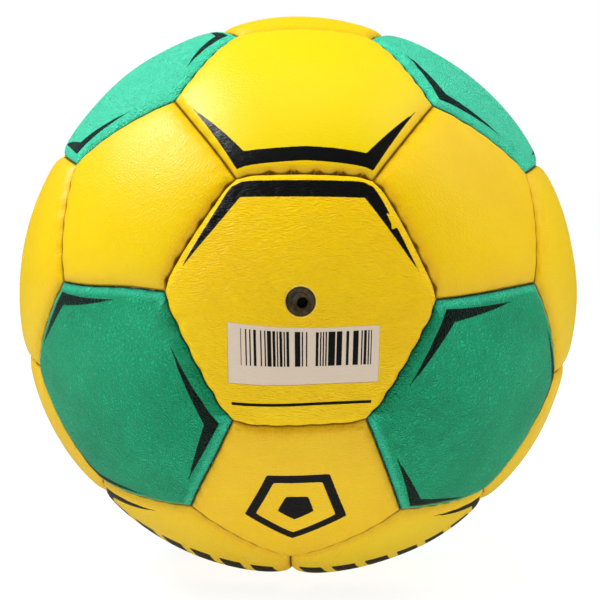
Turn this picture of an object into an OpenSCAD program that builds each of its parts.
// Hand-stitched handball of 32 panels: 20 hexagons and 12 pentagons round an inflated bladder.
// The origin is the ball's centre, +Z is up and the valve looks along -Y.

/* [Ball] */
// Diameter over the crowns of the panels
ball_d = 175; // [155:1:190]

/* [Cover panels] */
// Thickness of the synthetic leather skin
skin_t = 1.1; // [0.8:0.1:1.4]
// Thickness of the foam glued under the skin
foam_t = 1.8; // [1.2:0.1:2.4]
// Thickness of the woven lining glued under the foam
lining_t = 0.6; // [0.4:0.1:1]
// Radius of the roll where a skin turns into its seam
roll_r = 2.4; // [2:0.1:3]
// Width of the turned-in hem below the stitch line
hem_w = 1.6; // [1.2:0.1:2.4]
// Thickness of a glue line
glue_t = 0.05; // [0.02:0.01:0.1]

/* [Seams] */
// Gap between the two skins of a seam
seam_gap = 0.1; // [0.04:0.02:0.2]
// Number of stitches along one seam
stitches = 6; // [4:1:7]
// Width of the flat waxed thread that runs along a seam
thread_w = 0.8; // [0.6:0.05:1]
// Diameter of the thread where it is pulled tight through both skins
crossing_d = 0.6; // [0.4:0.05:0.7]
// Play of the thread in its awl hole, all round
awl_play = 0.1; // [0.05:0.01:0.2]
// Play between a line of thread and what lies beside it
thread_play = 0.15; // [0.1:0.05:0.3]
// Skin left between the roll and the awl holes
awl_wall = 0.2; // [0.1:0.05:0.5]

/* [Bladder] */
// Wall of the latex bladder
bladder_t = 0.9; // [0.6:0.1:1.2]
// Play between the bladder and the cover
bladder_play = 0.3; // [0.2:0.05:0.5]
// Diameter of the balance patch inside the bladder, opposite the valve
balance_d = 30; // [20:1:36]
// Thickness of the balance patch
balance_t = 1.6; // [1:0.1:2.5]

/* [Valve] */
// Diameter of the valve hole through the skin
valve_hole_d = 7.6; // [7.4:0.1:9]
// Diameter of the rubber neck in that hole
neck_d = 7; // [6.4:0.1:7.2]
// How far the neck's face lies below the ball's surface
neck_sink = 1.3; // [0.8:0.1:2]
// Play round the neck in foam, lining and patch
neck_play = 0.3; // [0.2:0.05:0.5]
// Diameter of the valve's bonding flange
flange_d = 26; // [20:1:30]
// Thickness of the bonding flange
flange_t = 1.3; // [1:0.1:1.8]
// Diameter of the cloth patch that backs the lining round the valve
patch_d = 34; // [31:1:40]
// Thickness of that patch
patch_t = 0.4; // [0.2:0.1:0.6]
// Diameter of the valve stem inside the bladder
stem_d = 11; // [9.6:0.2:14]
// Length of the stem below the bonding flange
stem_len = 13; // [11:0.5:18]
// Diameter of the sealing plug in the stem
plug_d = 4.4; // [4:0.1:4.8]
// Play of the plug in the stem, all round
plug_play = 0.05; // [0.03:0.01:0.1]
// How far the plug's face lies below the neck's face
plug_sink = 0.3; // [0.2:0.1:0.8]
// Diameter of the collar that locks the plug in the stem
collar_d = 6; // [5.6:0.1:7]
// Height of that collar
collar_h = 2; // [1.5:0.1:3]
// Distance from the stem's end to the collar
collar_rise = 2.5; // [2:0.1:4]
// Diameter of the needle hole in the plug
needle_d = 2.6; // [2.2:0.1:3]
// Depth of the needle hole
needle_len = 6; // [4:0.5:8]
// Width of the self-sealing slit below the needle hole
slit_w = 0.1; // [0.06:0.02:0.2]
// Length of that slit across the plug
slit_l = 2.4; // [1.6:0.2:3]

/* [Hidden] */
// Colours of the pieces
YELLOW = [0.96, 0.79, 0.03];
GREEN = [0.10, 0.60, 0.38];
FOAM = [0.90, 0.90, 0.88];
LINING = [0.80, 0.78, 0.72];
THREAD = [0.16, 0.14, 0.10];
LATEX = [0.72, 0.62, 0.45];
RUBBER = [0.20, 0.19, 0.14];
// Facets of a full circle, and of an awl hole or thread
$fn = 96;
FINE = 32;
// How far a cut runs past what it cuts
overrun_share = 0.01;
overrun = ball_d * overrun_share;
// The arc of a roll is this much larger than its radius, so that it meets the walls at an angle
roll_grow_share = 1.02;
// Sides of the two kinds of panel
hexagon_side_count = 6;
pentagon_side_count = 5;

// Golden ratio, which places all panels
phi = (1 + sqrt(5)) / 2;
// Angle from a panel's centre to its seams, seen from the ball's centre
hex_half = atan(1 / (phi * phi));
pent_half = acos(phi * phi / sqrt(3 * (1 + phi * phi))) - hex_half;
// Half the angle that one seam spans
seam_half = asin(1 / sqrt(9 * phi + 10));
// Cosine of an angle that is wider than between two panels that share a seam
NEAR_COS = 0.7;
// Cosine of an angle that is narrower than between any two panels
SAME_COS = 0.99;

ball_r = ball_d / 2;
// Depths below the ball's surface
foam_top = skin_t + glue_t;
lining_top = foam_top + foam_t + glue_t;
backing_end = lining_top + lining_t;
awl_d = crossing_d + 2 * awl_play;
stitch_depth = roll_r + awl_wall + awl_d / 2;
hem_end = stitch_depth + awl_d / 2 + hem_w;
// Distances from a seam's middle plane
skin_inset = seam_gap / 2;
run_inset = skin_inset + skin_t + thread_play + thread_w / 2;
backing_inset = run_inset + thread_w / 2 + thread_play;

// Radius of the stitch line, of the bladder in the seams and of the bladder under the panels
stitch_r = ball_r - stitch_depth;
patch_out_r = ball_r - backing_end - glue_t;
patch_in_r = patch_out_r - patch_t;
flange_out_r = patch_in_r - glue_t;
bladder_r = min(ball_r - hem_end - bladder_play, flange_out_r - flange_t - glue_t);
pillow_r = ball_r - backing_end - bladder_play;
// Length of one seam along the stitch line, as an angle, and the angle between stitches
stitch_step = 2 * seam_half / stitches;
// Length of the cut that pierces both hems for a stitch
awl_reach = 2 * (skin_inset + skin_t + thread_play);

// Places along the valve's axis, from the ball's centre
neck_top = ball_r - neck_sink;
stem_end = bladder_r - stem_len;
plug_top = neck_top - plug_sink;
collar_y = stem_end + collar_rise;
bore_d = plug_d + 2 * plug_play;

// Directions of the panels' centres before the ball is tilted to bring the valve to -Y
SIGNS = [-1, 1];
green_raw = [for (x = SIGNS, y = SIGNS, z = SIGNS) [x, y, z]];
yellow_raw = concat(
    [for (a = SIGNS, b = SIGNS) [0, a * phi, b / phi]],
    [for (a = SIGNS, b = SIGNS) [a / phi, 0, b * phi]],
    [for (a = SIGNS, b = SIGNS) [a * phi, b / phi, 0]]
);
pentagon_raw = concat(
    [for (a = SIGNS, b = SIGNS) [0, a, b * phi]],
    [for (a = SIGNS, b = SIGNS) [a * phi, 0, b]],
    [for (a = SIGNS, b = SIGNS) [a, b * phi, 0]]
);
function unit(v) = v / norm(v);
function tilted(v) = [
    v.x,
    v.y * cos(hex_half) + v.z * sin(hex_half),
    v.z * cos(hex_half) - v.y * sin(hex_half)
];
function directions(raw) = [for (v = raw) tilted(unit(v))];
green_dirs = directions(green_raw);
yellow_dirs = directions(yellow_raw);
pentagon_dirs = directions(pentagon_raw);
hexagon_dirs = concat(yellow_dirs, green_dirs);
// The first yellow hexagon carries the valve
valve_dir = yellow_dirs[0];

function numbered(word, count) = [for (i = [1:count]) str(word, i)];
green_names = numbered("green_hexagon_", len(green_dirs));
yellow_names = concat(["valve_hexagon"], numbered("yellow_hexagon_", len(yellow_dirs) - 1));
pentagon_names = numbered("pentagon_", len(pentagon_dirs));

// A direction square to n that points from n towards m
function towards(n, m) = unit(m - (m * n) * n);
// Panels that share a seam with the panel at n
function beside(n, dirs) = [for (d = dirs) if (d * n > NEAR_COS && d * n < SAME_COS) d];
// The middle of the seam between a hexagon at n and the panel at m
function seam_middle(n, m) = n * cos(hex_half) + towards(n, m) * sin(hex_half);

// Turns what faces -Y with its top to +Z so that it faces dir with its top along top
module facing(dir, top) {
    right = cross(-dir, top);
    multmatrix([
        [right.x, -dir.x, top.x, 0],
        [right.y, -dir.y, top.y, 0],
        [right.z, -dir.z, top.z, 0],
        [0, 0, 0, 1]
    ]) children();
}

module at_panel(dir) facing(dir, towards(dir, beside(dir, hexagon_dirs)[0])) children();

module at_seam(n, m) {
    middle = seam_middle(n, m);
    facing(middle, towards(middle, m)) children();
}

// Repeats its children at each seam of a panel that faces -Y: the seam's plane is XY,
// its middle lies along -Y and the panel is below
module at_sides(sides, half) {
    for (k = [0:sides - 1]) rotate([0, k * 360 / sides, 0]) rotate([-half, 0, 0]) children();
}

// What a roll takes off an edge that lies inset below the seam's plane; it runs on past the
// seam's corners, where the next edge begins
module roll_cut(r, inset, roll) {
    reach = seam_half + asin(roll / r);
    rotate([0, 0, -90 - reach]) rotate_extrude(angle = 2 * reach)
        translate([r - roll, -inset - roll]) difference() {
            square(roll + overrun);
            circle(r = roll * roll_grow_share);
        }
}

// A panel-shaped piece of a hollow ball, between two radii, inset from its seams
module tile(sides, half, r_out, r_in, inset, roll) {
    span = r_out + overrun;
    difference() {
        sphere(r = r_out);
        sphere(r = r_in);
        at_sides(sides, half) {
            translate([-span, -span, -inset]) cube(2 * span);
            if (roll > 0) roll_cut(r_out, inset, roll);
        }
    }
}

// Repeats its children at every stitch of one seam, in the seam's own frame
module at_stitches() {
    for (i = [0:stitches - 1]) {
        rotate([0, 0, (i - (stitches - 1) / 2) * stitch_step])
            translate([0, -stitch_r, 0]) children();
    }
}

// A hole along the valve's axis, between two distances from the ball's centre
module along_valve(d, from, to) {
    rotate([90, 0, 0]) translate([0, 0, from]) cylinder(d = d, h = to - from);
}

// One panel's skin: a shallow tray whose rim turns into the seams and holds the awl holes
module skin(sides, half) {
    difference() {
        tile(sides, half, ball_r, ball_r - hem_end, skin_inset, roll_r);
        tile(sides, half, ball_r - skin_t, ball_r - hem_end - overrun,
             skin_inset + skin_t, roll_r - skin_t);
        at_sides(sides, half) at_stitches()
            cylinder(d = awl_d, h = awl_reach, center = true, $fn = FINE);
    }
}

module hexagon_skin(dir, tint) color(tint) at_panel(dir) skin(hexagon_side_count, hex_half);

module valve_hexagon() {
    color(YELLOW) difference() {
        at_panel(valve_dir) skin(hexagon_side_count, hex_half);
        along_valve(valve_hole_d, ball_r - skin_t - overrun, ball_r + overrun);
    }
}

module pentagon_skin(dir) color(YELLOW) at_panel(dir) skin(pentagon_side_count, pent_half);

// The foam and the lining stop short of the hems, so that the thread has room
module foam(sides, half) {
    tile(sides, half, ball_r - foam_top, ball_r - foam_top - foam_t, backing_inset, 0);
}

module lining(sides, half) {
    tile(sides, half, ball_r - lining_top, ball_r - backing_end, backing_inset, 0);
}

module neck_clearance() along_valve(neck_d + 2 * neck_play, bladder_r, ball_r);

module hexagon_foams() {
    color(FOAM) for (d = hexagon_dirs) {
        if (d == valve_dir) difference() {
            at_panel(d) foam(hexagon_side_count, hex_half);
            neck_clearance();
        }
        else at_panel(d) foam(hexagon_side_count, hex_half);
    }
}

module pentagon_foams() {
    color(FOAM) for (d = pentagon_dirs) at_panel(d) foam(pentagon_side_count, pent_half);
}

module hexagon_linings() {
    color(LINING) for (d = hexagon_dirs) {
        if (d == valve_dir) difference() {
            at_panel(d) lining(hexagon_side_count, hex_half);
            neck_clearance();
        }
        else at_panel(d) lining(hexagon_side_count, hex_half);
    }
}

module pentagon_linings() {
    color(LINING) for (d = pentagon_dirs) at_panel(d) lining(pentagon_side_count, pent_half);
}

// The thread of one seam: a line on each side of the hems, tied by a crossing at each stitch
module seam_thread() {
    reach = (stitches - 1) * stitch_step + 2 * asin(thread_w / stitch_r);
    for (side = SIGNS) rotate([0, 0, -90 - reach / 2]) rotate_extrude(angle = reach)
        translate([stitch_r, side * run_inset]) square(thread_w, center = true);
    at_stitches() cylinder(d = crossing_d, h = 2 * run_inset, center = true, $fn = FINE);
}

module hexagon_seam_thread() {
    color(THREAD) for (i = [0:len(hexagon_dirs) - 1], j = [0:len(hexagon_dirs) - 1]) {
        n = hexagon_dirs[i];
        m = hexagon_dirs[j];
        if (i < j && n * m > NEAR_COS) at_seam(n, m) seam_thread();
    }
}

module pentagon_seam_thread() {
    color(THREAD) for (n = hexagon_dirs, m = beside(n, pentagon_dirs)) at_seam(n, m) seam_thread();
}

// A round cap of a hollow ball on the valve's axis
module cap(d, r_out, r_in) {
    intersection() {
        difference() {
            sphere(r = r_out);
            sphere(r = r_in);
        }
        along_valve(d, 0, ball_r);
    }
}

// The room that the backing patch and the valve's flange take from the bladder
module valve_dent(less) {
    cap(patch_d + 2 * bladder_play + 2 * less, ball_r, patch_in_r - bladder_play - less);
    cap(flange_d + 2 * bladder_play + 2 * less, ball_r, bladder_r - less);
}

// One panel's share of the inflated bladder, which swells between the hems
module swelling(dir, sides, half, less) {
    at_panel(dir) tile(sides, half, pillow_r - less, bladder_r - less - bladder_t,
                       backing_inset + less, 0);
}

module swollen_ball(less) {
    sphere(r = bladder_r - less);
    for (d = hexagon_dirs) {
        if (d == valve_dir) difference() {
            swelling(d, hexagon_side_count, hex_half, less);
            valve_dent(less);
        }
        else swelling(d, hexagon_side_count, hex_half, less);
    }
    for (d = pentagon_dirs) swelling(d, pentagon_side_count, pent_half, less);
}

module bladder() {
    color(LATEX) difference() {
        swollen_ball(0);
        swollen_ball(bladder_t);
        along_valve(stem_d + 2 * glue_t, stem_end, ball_r);
    }
}

module balance_patch() {
    out_r = pillow_r - bladder_t - glue_t;
    color(RUBBER) mirror([0, 1, 0]) cap(balance_d, out_r, out_r - balance_t);
}

module valve_patch() {
    color(LINING) difference() {
        cap(patch_d, patch_out_r, patch_in_r);
        neck_clearance();
    }
}

module valve_body() {
    color(RUBBER) difference() {
        union() {
            cap(flange_d, flange_out_r, bladder_r + glue_t);
            along_valve(neck_d, bladder_r, neck_top);
            along_valve(stem_d, stem_end, bladder_r + glue_t + flange_t / 2);
        }
        along_valve(bore_d, stem_end - overrun, neck_top + overrun);
        along_valve(collar_d + 2 * plug_play, collar_y - plug_play, collar_y + collar_h + plug_play);
    }
}

module valve_plug() {
    color(RUBBER) difference() {
        union() {
            along_valve(plug_d, stem_end, plug_top);
            along_valve(collar_d, collar_y, collar_y + collar_h);
        }
        along_valve(needle_d, plug_top - needle_len, plug_top + overrun);
        translate([-slit_l / 2, -plug_top + needle_len / 2, -slit_w / 2])
            cube([slit_l, plug_top - stem_end, slit_w]);
    }
}

for (i = [1:len(yellow_dirs) - 1])
    hexagon_skin(yellow_dirs[i], YELLOW);
for (i = [0:len(green_dirs) - 1])
    hexagon_skin(green_dirs[i], GREEN);
for (i = [0:len(pentagon_dirs) - 1])
    pentagon_skin(pentagon_dirs[i]);
valve_hexagon();
hexagon_foams();
pentagon_foams();
hexagon_linings();
pentagon_linings();
hexagon_seam_thread();
pentagon_seam_thread();
bladder();
balance_patch();
valve_patch();
valve_body();
valve_plug();
